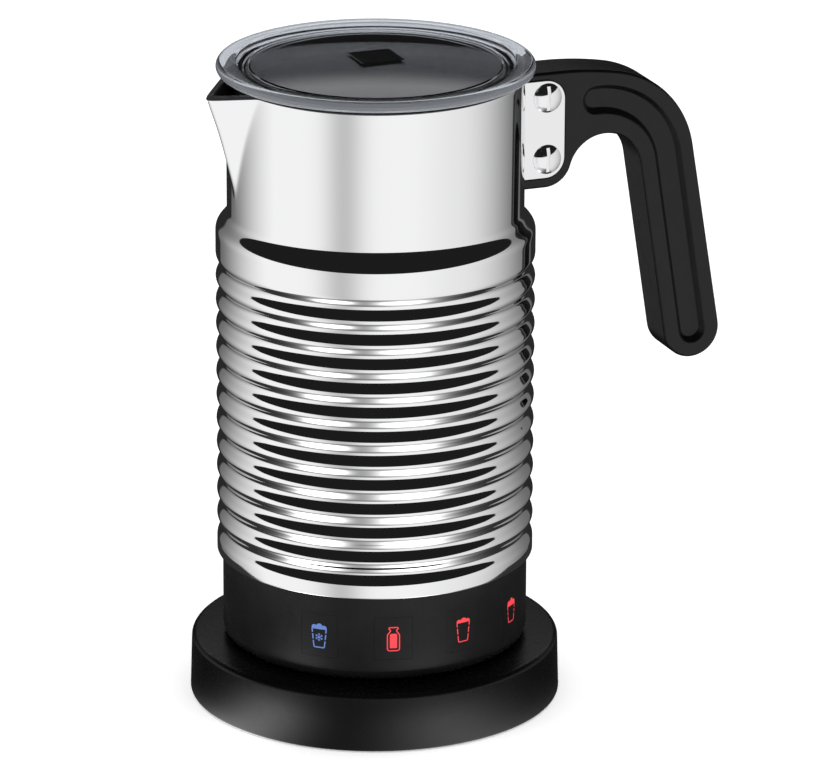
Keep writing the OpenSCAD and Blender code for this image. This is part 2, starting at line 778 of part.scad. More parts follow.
// A wire coil closed into a ring: each section of the wire is worked out from its angle round the ring
module whisk_spring() {
  steps = spring_turns * 8;
  sides = 6;
  zc = hub_low + 2.5;
  function centre(t) = let (p = spring_turns * t, r = spring_ring_r + spring_r * cos(p))
    [r * cos(t), r * sin(t), zc + spring_r * sin(p)];
  function out(t) = let (p = spring_turns * t) [cos(p) * cos(t), cos(p) * sin(t), sin(p)];
  function along(t) = let (d = centre(t + 0.01) - centre(t - 0.01)) d / norm(d);
  points = [for (i = [0 : steps - 1]) let (t = i * 360 / steps, n = out(t), b = cross(along(t), n))
    for (k = [0 : sides - 1]) let (a = k * 360 / sides)
      centre(t) + spring_wire_r * (cos(a) * n + sin(a) * b / norm(b))];
  faces = [for (i = [0 : steps - 1], k = [0 : sides - 1])
    let (j = (i + 1) % steps, m = (k + 1) % sides)
      each [[i * sides + k, i * sides + m, j * sides + m], [i * sides + k, j * sides + m, j * sides + k]]];
  color([0.8, 0.8, 0.82]) polyhedron(points, faces);
}

module whisk_magnets() {
  color([0.7, 0.7, 0.72]) around([0, 90, 180, 270]) post([magnet_ring, 0], magnet_r, hub_low, hub_low + 3);
}

foot_housing();
bottom_cover();
rubber_feet();
cover_screws();
cord_gland();
control_housing();
housing_screws();
seat_plate();
coil_former();
induction_coil();
ferrite_bars();
motor_bracket();
motor_screws();
motor_can();
motor_stator();
motor_bushes();
temperature_sensor();
switch_carrier();
tact_switches();
button_leds();
power_board();
board_screws();
filter_capacitor();
choke();
heat_sink();
terminal_block();
coil_leads();
button(0);  // button_cold_foam
button(1);  // button_hot_milk
button(2);  // button_light_foam
button(3);  // button_thick_foam
light_guide(0);  // guide_cold_foam
light_guide(1);  // guide_hot_milk
light_guide(2);  // guide_light_foam
light_guide(3);  // guide_thick_foam
motor_shaft();
motor_armature();
magnet_carrier();
drive_magnets();
outer_shell();
inner_cup();
induction_disc();
jug_base_ring();
whisk_pin();
handle();
handle_bracket();
handle_screws();
handle_sleeve_nuts();
lid_disc();
lid_seal();
lid_badge();
whisk_bush();
whisk_hub();
whisk_spring();
whisk_magnets();
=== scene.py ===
import json
import math

import bmesh
import bpy
import numpy as np
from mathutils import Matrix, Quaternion, Vector
from mathutils.geometry import tessellate_polygon

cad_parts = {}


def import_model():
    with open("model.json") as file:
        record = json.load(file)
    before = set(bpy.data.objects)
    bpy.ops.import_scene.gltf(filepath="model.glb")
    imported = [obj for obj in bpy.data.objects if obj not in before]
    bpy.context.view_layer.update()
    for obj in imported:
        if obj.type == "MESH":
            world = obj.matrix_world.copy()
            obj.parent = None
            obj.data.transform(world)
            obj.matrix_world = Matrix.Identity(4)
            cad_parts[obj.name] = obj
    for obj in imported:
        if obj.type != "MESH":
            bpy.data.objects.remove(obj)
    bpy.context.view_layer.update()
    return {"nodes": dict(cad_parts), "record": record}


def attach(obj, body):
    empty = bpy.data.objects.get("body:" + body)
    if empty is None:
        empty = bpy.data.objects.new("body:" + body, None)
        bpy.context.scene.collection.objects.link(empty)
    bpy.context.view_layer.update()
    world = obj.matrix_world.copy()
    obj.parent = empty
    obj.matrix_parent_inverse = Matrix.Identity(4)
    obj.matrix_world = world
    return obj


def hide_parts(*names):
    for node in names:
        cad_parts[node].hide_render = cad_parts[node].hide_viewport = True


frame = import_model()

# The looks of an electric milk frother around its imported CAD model. All sizes below are in
# millimetres and repeat the CAD's; the mesh helpers turn them into metres.

MM = 0.001
TAU = 2 * math.pi
SCENE = bpy.context.scene
NODES = frame["nodes"]
SLOT_OF = {row["node"]: row["material_slot"] for row in frame["record"]["subparts"]}

# The main view, with its distance and the point it looks at in metres
CAMERA_TURN, CAMERA_RISE, CAMERA_ROLL, CAMERA_DISTANCE = 21.0, 18.74, 0.13, 1.870
CAMERA_AIM = Vector((0, 0, 0.1006))
CAMERA_LENS, CAMERA_SENSOR, CAMERA_SHIFT = 259, 36, 0.0447

# Base
FOOT_R, FOOT_TOP, FOOT_BOTTOM = 58.9, 19.2, 0.3
FOOT_RIM_R = FOOT_R - 0.5
FOOT_EDGE, FOOT_BROW = 0.8, 1.8
FOOT_CEILING, FOOT_OPENING_R, FOOT_INNER_R = FOOT_TOP - 2.4, 33, 55.5
BAND_R, BAND_TOP, BAND_ROUND, BAND_WALL = 48.3, 47.5, 4.0, 2.4
BAND_FLOOR, BAND_FLOOR_R, BAND_EDGE = FOOT_TOP + 2, 34, 0.5
SEAT_OPENING_R, SEAT_FLANGE_Z = 39.6, 45.1
GLAND_Z, GLAND_HOLE_R = 9.5, 4.52
KEYS = ("cold_foam", "hot_milk", "light_foam", "thick_foam")
KEY_ANGLES = [-90 + step * 28 for step in (-1.5, -0.5, 0.5, 1.5)]
KEY_Z, KEY_W, KEY_H, KEY_GAP, KEY_BACK = 34.0, 12.0, 14.0, 0.03, 45.6
ICON_Z, ICON_FACE, ICON_BACK = 33.8, 0.03, -0.15

# Jug
SHELL_BOTTOM, SHELL_TOP, RIM_Z, SHEET = 47.8, 203.2, 203.9, 0.8
RIB_R, RIB_FIRST, RIB_PITCH, RIB_DEPTH, RIB_COUNT = 50.1, 51.7, 7.855, 1.5, 12
SHOULDER_CREST = RIB_FIRST + RIB_COUNT * RIB_PITCH
SHOULDER_Z, NECK_Z, NECK_R = 151.8, 161.2, 46.5
SPOUT_LOW_Z, SPOUT_REACH, SPOUT_FLARE = 166.2, 10.0, 12.5 / 15
SPOUT_JOIN_X, SPOUT_DROP, SPOUT_INSET = -44.0, 0.272, 1.3
SPOUT_SAG_Z, SPOUT_BLEND, SPOUT_BLEND_H, SPOUT_KEEL = 184, 0.5, 12, 0.02
CUP_R, CUP_FLOOR, CUP_CORNER = 45.2, 52.0, 8.0
CUP_OUTSIDE, CUP_INSIDE = 1.1, 1.9

# Handle and its bracket
HANDLE_T, HANDLE_TOP, HANDLE_LOW = 15.2, 199.9, 162.3
CROWN_X, CROWN_R, CROWN_END, CORNER_R = 58.5, 110.0, 79.3, 32.4
END_ARC = ((105.5, 109.9), 9.5)
INNER_ARC = ((74.7, 165.7), 12.2)
HEEL_R, GRIP_TILT = 9.0, 9.1
GROOVE_DEPTH, GROOVE_W, GROOVE_LIP, GROOVE_FOOT = 1.8, 9.0, 0.9, 0.7
GROOVE_ARC, GROOVE_START = ((72.4, 165.3), 24.1), 93.0
BRACKET_X, BRACKET_LOW, BRACKET_HIGH, BRACKET_CORNER = 60.5, 165.6, 197.5, 6.5
CHEEK_Y, CHEEK_OUT, SADDLE_R, SADDLE_T = 6.8, 7.9, 46.55, 1.2
SCREW_X, SCREW_ZS, SCREW_R, SCREW_H, SLOT_W = 54.5, (171.8, 191.8), 4.75, 1.7, 1.1
NECK_SEGMENTS = 288

# Lid
LID_R, LID_UNDER, LID_TOP = 49.7, 204.2, 207.6
SKIRT_R, SKIRT_WALL, SKIRT_LOW = 43.0, 1.6, 197.0
VALLEY_R, VALLEY_Z, DOME_TOP = 39.6, 206.0, 208.7
RIM_STEP_R, SEAL_GROOVE = 43.9, 0.4
BADGE_W, BADGE_D, BADGE_T = 14.0, 13.6, 0.5

# Whisk
RING_R, COIL_R, WIRE_R, COIL_TURNS, RING_Z = 15.3, 1.9, 0.4, 36, 57.5


# ---------------------------------------------------------------- mesh helpers


def arc(centre, radius, start, end, steps=12):
    """Points on an arc in a plane, from start to end in degrees."""
    angles = np.radians(np.linspace(start, end, steps + 1))
    return [(centre[0] + radius * math.cos(a), centre[1] + radius * math.sin(a)) for a in angles]


def ease(t):
    """A soft step from 0 to 1."""
    u = np.clip(t, 0, 1)
    return u * u * (3 - 2 * u)


def steep_ease(t):
    """A step from 0 to 1, steep in the middle with long flat ends."""
    u = np.clip(t, 0, 1)
    return u**5 * (126 + u * (-420 + u * (540 + u * (-315 + 70 * u))))


def soft_max(a, b, blend):
    """The larger of two values, rounded off where they are closer than about blend."""
    return (a + b + np.sqrt((a - b) ** 2 + blend**2)) / 2


def mesh_from(name, vertices, faces):
    """A mesh in metres from points in millimetres."""
    mesh = bpy.data.meshes.new(name)
    mesh.from_pydata([tuple(float(c) * MM for c in v) for v in vertices], [], faces)
    return mesh


def as_object(name, mesh):
    obj = bpy.data.objects.new(name, mesh)
    SCENE.collection.objects.link(obj)
    return obj


def clean(mesh):
    """Merges the points of a pole and makes all faces point outwards."""
    bm = bmesh.new()
    bm.from_mesh(mesh)
    bmesh.ops.remove_doubles(bm, verts=bm.verts, dist=1e-7)
    bmesh.ops.dissolve_degenerate(bm, edges=bm.edges, dist=1e-8)
    bmesh.ops.recalc_face_normals(bm, faces=bm.faces)
    bm.to_mesh(mesh)
    bm.free()


def solid(name, vertices, faces):
    """An object with a clean mesh of those faces."""
    mesh = mesh_from(name, vertices, faces)
    clean(mesh)
    return as_object(name, mesh)


def quads(count, columns, closed=False):
    """Faces between rows of points. Each row wraps round, and if closed, the last row meets the first."""
    faces = []
    for i in range(count if closed else count - 1):
        j = (i + 1) % count
        for k in range(columns):
            m = (k + 1) % columns
            faces.append((i * columns + k, i * columns + m, j * columns + m, j * columns + k))
    return faces


def grid(name, rows):
    """A closed surface through an array of row by column by xyz, where both directions wrap round."""
    count, columns = rows.shape[:2]
    return solid(name, rows.reshape(-1, 3), quads(count, columns, closed=True))


def lathe(name, profile, segments=256):
    """Turns a closed outline of (radius, height) points about Z."""
    turn = np.linspace(0, TAU, segments, endpoint=False)
    r = np.array([p[0] for p in profile])[:, None]
    z = np.array([p[1] for p in profile])[:, None]
    rows = np.stack([r * np.cos(turn), r * np.sin(turn), z + 0 * turn], axis=-1)
    return grid(name, rows)


def side_point(x, z, y):
    """Places an outline of x and z points in a side view."""
    return (x, y, z)


def upright(x, y, z):
    """Places an outline of x and y points in a top view."""
    return (x, y, z)


def prism(name, outline, low, high, to_point=side_point):
    """A straight-sided solid on an outline, between two levels; to_point places (u, v, level)."""
    n = len(outline)
    vertices = [to_point(u, v, level) for level in (low, high) for u, v in outline]
    faces = [tuple(range(n)), tuple(range(2 * n - 1, n - 1, -1))]
    return solid(name, vertices, faces + quads(2, n))


def discard(obj):
    """Removes an object and its mesh."""
    mesh = obj.data
    bpy.data.objects.remove(obj)
    bpy.data.meshes.remove(mesh)


def from_bmesh(name, bm):
    """A new object from a finished bmesh."""
    mesh = bpy.data.meshes.new(name)
    bm.to_mesh(mesh)
    bm.free()
    return as_object(name, mesh)


def apply_modifiers(obj):
    """Turns what the modifiers make into the object's own mesh."""
    evaluated = obj.evaluated_get(bpy.context.evaluated_depsgraph_get())
    mesh = bpy.data.meshes.new_from_object(evaluated)
    obj.modifiers.clear()
    old, obj.data = obj.data, mesh
    bpy.data.meshes.remove(old)


def cut(obj, *cutters, operation="DIFFERENCE"):
    """Cuts each cutter out of obj and removes it."""
    for cutter in cutters:
        step = obj.modifiers.new("cut", "BOOLEAN")
        step.object, step.operation, step.solver = cutter, operation, "EXACT"
        apply_modifiers(obj)
        discard(cutter)
    return obj


def join(name, objects):
    """Several objects as one mesh."""
    bm = bmesh.new()
    for obj in objects:
        bm.from_mesh(obj.data)
        discard(obj)
    return from_bmesh(name, bm)


def bevel(obj, width, segments, angle=30):
    """Rounds the edges that are sharper than the angle."""
    edge = obj.modifiers.new("edge", "BEVEL")
    edge.width, edge.segments, edge.angle_limit = width * MM, segments, math.radians(angle)
    apply_modifiers(obj)


def smooth(obj, angle=35, weighted=False):
    """Smooth shading, with edges sharper than the angle kept."""
    obj.data.shade_smooth()
    obj.data.set_sharp_from_angle(angle=math.radians(angle))
    if weighted:
        step = obj.modifiers.new("normals", "WEIGHTED_NORMAL")
        step.keep_sharp = True
    return obj


def piece(obj, body, slot, replaced=(), angle=35, weighted=False):
    """Finishes a new piece: its shading, material, body and the CAD nodes it stands for."""
    smooth(obj, angle, weighted)
    obj.data.materials.clear()
    obj.data.materials.append(MATERIALS[slot])
    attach(obj, body)
    if replaced:
        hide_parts(*replaced)
    return obj


# ---------------------------------------------------------------- materials


def add_node(material, kind, **values):
    """A node of that kind, its settings or sockets given by name."""
    made = material.node_tree.nodes.new(kind)
    for key, value in values.items():
        if hasattr(made, key):
            setattr(made, key, value)
        else:
            made.inputs[key.replace("_", " ").title()].default_value = value
    return made


def wire(material, source, target):
    material.node_tree.links.new(source, target)


def shader(name, colour, **sockets):
    """A material with one principled shader, its sockets set by name."""
    material = bpy.data.materials.new(name)
    material.use_nodes = True
    inputs = material.node_tree.nodes["Principled BSDF"].inputs
    inputs["Base Color"].default_value = (*colour[:3], 1)
    for key, value in sockets.items():
        inputs[key.replace("_", " ").title().replace("Ior", "IOR")].default_value = value
    return material


def compute(material, operation, first, *others):
    """A row of math nodes: the operation on the first value and each of the others in turn."""
    for other in others or (0.0,):
        made = add_node(material, "ShaderNodeMath", operation=operation)
        for socket, value in zip(made.inputs, (first, other)):
            if isinstance(value, (int, float)):
                socket.default_value = value
            else:
                wire(material, value, socket)
        first = made.outputs[0]
    return first


def fade(material, source, start, end, low, high, kind="SMOOTHSTEP"):
    """A step from low to high as the source goes from start to end."""
    if start > end:
        start, end, low, high = end, start, high, low
    made = add_node(material, "ShaderNodeMapRange", interpolation_type=kind)
    for key, value in (("From Min", start), ("From Max", end), ("To Min", low), ("To Max", high)):
        made.inputs[key].default_value = value
    wire(material, source, made.inputs["Value"])
    return made.outputs["Result"]


def spread(material, source, low, high, start=0.3, end=0.7):
    """The source mapped evenly to low..high."""
    return fade(material, source, start, end, low, high, "LINEAR")


def axis_distance(material):
    """How far a point is from the Z axis, in metres."""
    place = add_node(material, "ShaderNodeTexCoord")
    flat = add_node(material, "ShaderNodeVectorMath", operation="MULTIPLY")
    flat.inputs[1].default_value = (1, 1, 0)
    reach = add_node(material, "ShaderNodeVectorMath", operation="LENGTH")
    wire(material, place.outputs["Object"], flat.inputs[0])
    wire(material, flat.outputs[0], reach.inputs[0])
    return reach.outputs["Value"]


def principled(material):
    return material.node_tree.nodes["Principled BSDF"]


def noise(material, size, stretch=(1, 1, 1), detail=3):
    """Noise with features of about size mm, longer where stretch is smaller."""
    place = add_node(material, "ShaderNodeTexCoord")
    scale = add_node(material, "ShaderNodeMapping")
    scale.inputs["Scale"].default_value = stretch
    made = add_node(material, "ShaderNodeTexNoise")
    made.inputs["Scale"].default_value = 1 / (size * MM)
    made.inputs["Detail"].default_value = detail
    wire(material, place.outputs["Object"], scale.inputs["Vector"])
    wire(material, scale.outputs["Vector"], made.inputs["Vector"])
    return made.outputs["Fac"]


def blend_colours(material, share, first, second):
    """Base colour that goes from first to second as the share goes from 0 to 1."""
    made = add_node(material, "ShaderNodeMix", data_type="RGBA")
    ends = [socket for socket in made.inputs if socket.type == "RGBA"]
    for socket, colour in zip(ends, (first, second)):
        socket.default_value = (*colour, 1)
    wire(material, share, made.inputs[0])
    result = [socket for socket in made.outputs if socket.type == "RGBA"][0]
    wire(material, result, principled(material).inputs["Base Color"])


def tint(material, source, dark, light):
    """Base colour that varies between two colours with the source."""
    blend_colours(material, spread(material, source, 0, 1), dark, light)


def rough(material, source, low, high):
    """Roughness that varies from low to high with the source."""
    wire(material, spread(material, source, low, high), principled(material).inputs["Roughness"])


def bump(material, source, height, strength=1.0):
    """Relief of up to height mm."""
    made = add_node(material, "ShaderNodeBump")
    made.inputs["Distance"].default_value = height * MM
    made.inputs["Strength"].default_value = strength
    wire(material, source, made.inputs["Height"])
    wire(material, made.outputs["Normal"], principled(material).inputs["Normal"])


def moulded(name, colour, low=0.3, high=0.4, grain=0.35, relief=0.004, shine=0.5):
    """Moulded plastic: fine spark texture, slightly uneven sheen."""
    made = shader(name, colour, specular_ior_level=shine)
    tint(made, noise(made, 9), [c * 0.85 for c in colour], [c * 1.15 for c in colour])
    rough(made, noise(made, 3, detail=5), low, high)
    bump(made, noise(made, grain, detail=2), relief)
    return made


def polished_metal(name, colour, low, high, wear=12):
    """Polished metal, its gloss a little uneven over patches of about wear mm."""
    made = shader(name, colour, metallic=1.0)
    rough(made, noise(made, wear, detail=6), low, high)
    bump(made, noise(made, 25), 0.002)
    return made


def drawn_metal(name, colour, low, high, stretch=(1, 1, 0.05), size=0.3):
    """Metal with fine lines along the direction that is stretched."""
    made = shader(name, colour, metallic=1.0)
    lines = noise(made, size, stretch=stretch, detail=4)
    rough(made, lines, low, high)
    tint(made, lines, [c * 0.88 for c in colour], [min(1, c * 1.08) for c in colour])
    return made


def rubber(name, colour):
    """Dull rubber or cable insulation with a fine grain."""
    made = shader(name, colour)
    tint(made, noise(made, 5), [c * 0.7 for c in colour], [c * 1.2 for c in colour])
    rough(made, noise(made, 1.2), 0.6, 0.8)
    bump(made, noise(made, 0.25), 0.01)
    return made


def smoked_plastic(name):
    """The lid: clear plastic, smokier in the middle than at the rim, and cloudy at the rim's nose."""
    made = shader(name, (0.50, 0.53, 0.58), transmission_weight=1.0, ior=1.49)
    rough(made, noise(made, 15), 0.0, 0.01)
    reach = axis_distance(made)
    clear = fade(made, reach, (LID_R - 1.4) * MM, (LID_R - 0.4) * MM, 1.0, 0.72)
    wire(made, clear, principled(made).inputs["Transmission Weight"])
    outer = fade(made, reach, 39 * MM, 43.5 * MM, 0, 1)
    blend_colours(made, outer, (0.34, 0.36, 0.40), (0.54, 0.57, 0.62))
    return made


def wound_copper(name):
    """Lacquered copper strands."""
    made = shader(name, (0.72, 0.32, 0.14), metallic=1.0)
    strands = noise(made, 0.35, stretch=(1, 1, 0.3), detail=3)
    tint(made, strands, (0.5, 0.18, 0.07), (0.85, 0.42, 0.2))
    rough(made, strands, 0.25, 0.5)
    bump(made, strands, 0.05)
    return made


def circuit_board(name):
    """Green board with slightly cloudy lacquer."""
    made = shader(name, (0.02, 0.16, 0.07))
    tint(made, noise(made, 4, detail=1), (0.01, 0.10, 0.045), (0.03, 0.2, 0.09))
    rough(made, noise(made, 2), 0.2, 0.4)
    return made


def non_stick(name):
    """Black non-stick coat with pale specks."""
    coat = (0.012, 0.012, 0.013)
    made = shader(name, coat, specular_ior_level=0.2)
    specks = spread(made, noise(made, 0.5, detail=2), 0, 1, 0.68, 0.72)
    blend_colours(made, specks, coat, (0.12, 0.12, 0.12))
    rough(made, noise(made, 2), 0.28, 0.4)
    bump(made, noise(made, 0.6), 0.006)
    return made


def lit_icon(name, colour, glow):
    """A printed icon lit from behind."""
    made = shader(name, colour, emission_strength=glow)
    principled(made).inputs["Emission Color"].default_value = (*colour, 1)
    rough(made, noise(made, 0.6), 0.3, 0.45)
    return made


# For each slot, its maker, its colour and what else the maker takes after its name
FINISHES = {
    "base_black": (moulded, (0.002, 0.002, 0.0021), 0.25, 0.3, 0.35, 0.0005, 0.25),
    "cover_black": (moulded, (0.012, 0.012, 0.012), 0.45, 0.6, 0.5, 0.02),
    "foot_rubber": (rubber, (0.02, 0.02, 0.02)),
    "screw_steel": (drawn_metal, (0.55, 0.55, 0.57), 0.25, 0.4, (1, 1, 1)),
    "band_black": (moulded, (0.0085, 0.0085, 0.0087), 0.2, 0.25, 0.35, 0.0003, 0.25),
    "seat_glass_black": (moulded, (0.006, 0.006, 0.007), 0.06, 0.12, 2.0, 0.002),
    "coil_copper": (wound_copper,),
    "former_cream": (moulded, (0.66, 0.6, 0.46), 0.5, 0.65),
    "ferrite_grey": (moulded, (0.05, 0.05, 0.055), 0.5, 0.7, 0.4, 0.03),
    "zinc_sheet": (drawn_metal, (0.6, 0.62, 0.65), 0.3, 0.5, (1, 1, 1), 3.0),
    "motor_steel": (drawn_metal, (0.5, 0.51, 0.53), 0.25, 0.4),
    "bush_bronze": (drawn_metal, (0.55, 0.36, 0.16), 0.3, 0.5, (1, 1, 1)),
    "shaft_steel": (polished_metal, (0.72, 0.72, 0.74), 0.08, 0.18),
    "lamination_steel": (drawn_metal, (0.28, 0.28, 0.3), 0.35, 0.5, (0.05, 0.05, 1)),
    "magnet_nickel": (polished_metal, (0.66, 0.64, 0.6), 0.1, 0.2),
    "board_green": (circuit_board,),
    "switch_black": (moulded, (0.02, 0.02, 0.02), 0.35, 0.5),
    "led_white": (moulded, (0.8, 0.78, 0.7), 0.15, 0.3),
    "capacitor_blue": (moulded, (0.02, 0.04, 0.13), 0.2, 0.35),
    "aluminium_fin": (drawn_metal, (0.68, 0.69, 0.71), 0.3, 0.45),
    "lead_red": (rubber, (0.4, 0.03, 0.02)),
    "white_plastic": (moulded, (0.72, 0.72, 0.69), 0.4, 0.55),
    "jug_chrome": (polished_metal, (0.93, 0.93, 0.94), 0.025, 0.045),
    "nonstick_black": (non_stick,),
    "ferritic_steel": (drawn_metal, (0.5, 0.5, 0.51), 0.3, 0.45, (1, 1, 1)),
    "handle_black": (moulded, (0.002, 0.002, 0.0021), 0.28, 0.36, 0.35, 0.0012, 0.34),
    "fitting_chrome": (polished_metal, (0.9, 0.9, 0.91), 0.06, 0.1),
    "lid_smoke": (smoked_plastic,),
    "seal_silicone": (rubber, (0.01, 0.01, 0.01)),
    "badge_black": (moulded, (0.003, 0.003, 0.003), 0.04, 0.08, 2.0, 0.001),
    "wire_steel": (polished_metal, (0.75, 0.75, 0.77), 0.1, 0.18),
    "icon_red": (lit_icon, (0.77, 0.04, 0.055), 0.35),
    "icon_blue": (lit_icon, (0.085, 0.16, 0.44), 0.35),
}
MATERIALS = {name: maker(name, *values) for name, (maker, *values) in FINISHES.items()}


# ---------------------------------------------------------------- base


def foot_housing():
    """The wide foot with its soft lower edge and brow, and the hole for the cord gland."""
    outline = arc((FOOT_R - FOOT_EDGE, FOOT_BOTTOM + FOOT_EDGE), FOOT_EDGE, -90, 0, 10)
    outline += arc((FOOT_RIM_R - FOOT_BROW, FOOT_TOP - FOOT_BROW), FOOT_BROW, 2, 90, 10)
    outline += [(FOOT_OPENING_R, FOOT_TOP), (FOOT_OPENING_R, FOOT_CEILING)]
    outline += [(FOOT_INNER_R + 0.3, FOOT_CEILING), (FOOT_INNER_R + 0.4, FOOT_CEILING - 4)]
    outline += [(FOOT_INNER_R, FOOT_BOTTOM)]
    foot = lathe("foot", outline)
    hole = prism("hole", arc((0, GLAND_Z), GLAND_HOLE_R, 0, 352.5, 47), FOOT_INNER_R - 3.5, FOOT_R + 5.1)
    cut(foot, hole)
    piece(foot, "motor_base", "base_black", ["foot_housing"])


def key_block(name, angle, edge):
    """A key's face with rounded edges, bent round the Z axis at an angle."""
    half, top, low = KEY_W / 2 - KEY_GAP, KEY_Z + KEY_H / 2 - KEY_GAP, KEY_Z - KEY_H / 2 + KEY_GAP
    flat = half - 0.6
    bends = np.linspace(0, math.pi / 2, 5)
    rounding = [(edge * (1 - math.sin(a)), edge * (1 - math.cos(a))) for a in bends]
    across = [(-half + out, inset) for inset, out in rounding]
    across += [(u, 0.0) for u in np.linspace(-flat, flat, 20)]
    across += [(half - out, inset) for inset, out in rounding[::-1]]
    rows = []
    for u, inset in across:
        back, front = KEY_BACK + inset + edge, BAND_R - inset - edge
        z0, z1 = low + inset + edge, top - inset - edge
        section = []
        for index, corner in enumerate(((front, z1), (back, z1), (back, z0), (front, z0))):
            section += arc(corner, edge, 90 * index, 90 * index + 90, 4)
        turn = math.radians(angle) + u / BAND_R
        rows.append([(r * math.cos(turn), r * math.sin(turn), z) for r, z in section])
    n = len(rows[0])
    vertices = [p for row in rows for p in row]
    faces = [tuple(range(n)), tuple(range(len(vertices) - 1, len(vertices) - n - 1, -1))]
    return solid(name, vertices, faces + quads(len(rows), n))


def control_housing():
    """The band that holds the keys, with a window for each."""
    outline = [(BAND_FLOOR_R, BAND_FLOOR), (BAND_FLOOR_R, FOOT_TOP)]
    outline += arc((BAND_R - BAND_ROUND, FOOT_TOP + BAND_ROUND), BAND_ROUND, -90, 0, 14)
    outline += arc((BAND_R - BAND_EDGE, BAND_TOP - BAND_EDGE), BAND_EDGE, 0, 90, 5)
    wall = BAND_R - BAND_WALL
    outline += [(SEAT_OPENING_R, BAND_TOP), (SEAT_OPENING_R, SEAT_FLANGE_Z), (wall, SEAT_FLANGE_Z)]
    outline += [(wall, BAND_FLOOR + 2), (wall - 2, BAND_FLOOR)]
    band = lathe("control_band", outline)
    window = [(u * KEY_W / 2, v * KEY_H / 2) for u, v in ((-1, -1), (1, -1), (1, 1), (-1, 1))]
    for angle in KEY_ANGLES:
        turn = math.radians(angle)
        across = Vector((-math.sin(turn), math.cos(turn), 0))
        out = Vector((math.cos(turn), math.sin(turn), 0))

        def place(u, v, level, across=across, out=out):
            return tuple(across * u + out * level + Vector((0, 0, KEY_Z + v)))

        cut(band, prism("window", window, BAND_R - 5.3, BAND_R + 3.7, place))
    piece(band, "motor_base", "band_black", ["control_housing"], angle=30, weighted=True)


def keys():
    """The four key faces, each on the body of its own button."""
    for name, angle in zip(KEYS, KEY_ANGLES):
        block = key_block("key_face_" + name, angle, 0.06)
        piece(block, "key_" + name, "band_black", ["button_" + name], angle=40, weighted=True)


def ribbon(bm, angle, left, right):
    """A thin solid between two lines of (across, up) points, laid round a key's face."""

    def line(points, level):
        made = []
        for across, up in points:
            turn = math.radians(angle) + across / BAND_R
            x, y = (BAND_R + level) * math.cos(turn), (BAND_R + level) * math.sin(turn)
            made.append(bm.verts.new((x * MM, y * MM, (ICON_Z + up) * MM)))
        return made

    lines = [line(left, ICON_FACE), line(right, ICON_FACE), line(right, ICON_BACK), line(left, ICON_BACK)]
    for a, b in zip(lines, lines[1:] + lines[:1]):
        for i in range(len(a) - 1):
            bm.faces.new((a[i], b[i], b[i + 1], a[i + 1]))
    bm.faces.new([row[0] for row in lines])
    bm.faces.new([row[-1] for row in lines[::-1]])


def stroke(points, width=0.46):
    """The two sides of a line of that width through the points."""
    p = np.array(points, float)
    ahead = np.diff(p, axis=0)
    ahead /= np.linalg.norm(ahead, axis=1, keepdims=True)
    mean = np.concatenate([ahead[:1], ahead[:-1] + ahead[1:], ahead[-1:]])
    mean /= np.linalg.norm(mean, axis=1, keepdims=True)
    share = np.concatenate([[1.0], np.sum(mean[1:-1] * ahead[1:], axis=1), [1.0]])
    side = np.stack([-mean[:, 1], mean[:, 0]], axis=1) * (width / 2 / share)[:, None]
    return (p + side).tolist(), (p - side).tolist()


def foam(base, height):
    """Foam with three round tops, filled from its base upwards."""
    across = np.linspace(-2.5, 2.5, 41)
    tops = np.zeros_like(across)
    for middle, radius, lift in ((-1.6, 0.95, 0.76), (0.1, 1.0, 1.0), (1.65, 0.9, 0.7)):
        reach = np.clip(1 - ((across - middle) / radius) ** 2, 0, 1)
        tops = np.maximum(tops, (reach > 0) * height * (lift - 0.5 + 0.5 * np.sqrt(reach)))
    return list(zip(across, base + np.maximum(tops, 0.15))), [(u, base) for u in across]


def cup_icon(base, height, width):
    """A cup with broken sides, closed at the bottom, with foam on top."""
    low, foot, corner, break_low, break_high = -3.85, 1.35, 0.4, -1.7, -1.2

    def wall(v, side=1):
        return (side * (1.75 + (v - low) * 0.62 / (base - low)), v)

    pieces = [foam(base, height)]
    for side in (-1, 1):
        pieces.append(stroke([wall(base, side), wall(base - 1.2, side)], width))
        pieces.append(stroke([wall(base - 1.7, side), wall(break_high, side)], width))
    line = [wall(break_low, -1)] + arc((-foot, low + corner), corner, 190, 270, 4)
    line += [(u, low) for u in np.linspace(-foot, foot, 7)[1:-1]]
    line += arc((foot, low + corner), corner, -90, -10, 4) + [wall(break_low)]
    return pieces + [stroke(line, width)]


def bottle_icon():
    """A milk bottle with a lip, and the milk in it."""
    half = arc((1.15, 3.55), 0.3, 90, -60, 6) + [(0.95, 2.9), (1.05, 2.55), (1.45, 1.95)]
    half += arc((1.05, 1.15), 0.85, 42, 0, 4) + [(1.9, -1.0)] + arc((1.2, -3.15), 0.7, 0, -90, 6)
    bottom = [(u, -3.85) for u in (0.8, 0.3, -0.3, -0.8)]
    top = [(u, 3.85) for u in (-0.7, -0.25, 0.25, 0.7)]
    outline = top + half + bottom + [(-u, v) for u, v in half[::-1]]
    across = np.linspace(-1.15, 1.15, 11)
    milk_top = [(u, 1.8 - max(0, abs(u) - 0.8)) for u in across]
    milk_low = [(u, -3.0) for u in across]
    return [stroke(outline + outline[:1], 0.36), (milk_top, milk_low)]


def snowflake():
    """Six branched arms in the middle of the cold cup."""
    pieces, middle, arm = [], (0, -0.45), 1.3
    for turn in np.radians([90, 30, -30]):
        out = np.array([math.cos(turn), math.sin(turn)])
        pieces.append(stroke([out * -arm + middle, out * arm + middle], 0.24))
        for end in (-1, 1):
            knot = out * 0.75 * end + middle
            for lean in (-0.8, 0.8):
                tip = turn + (0 if end > 0 else math.pi) + lean
                reach = np.array([math.cos(tip), math.sin(tip)]) * 0.5
                pieces.append(stroke([knot, knot + reach], 0.2))
    return pieces


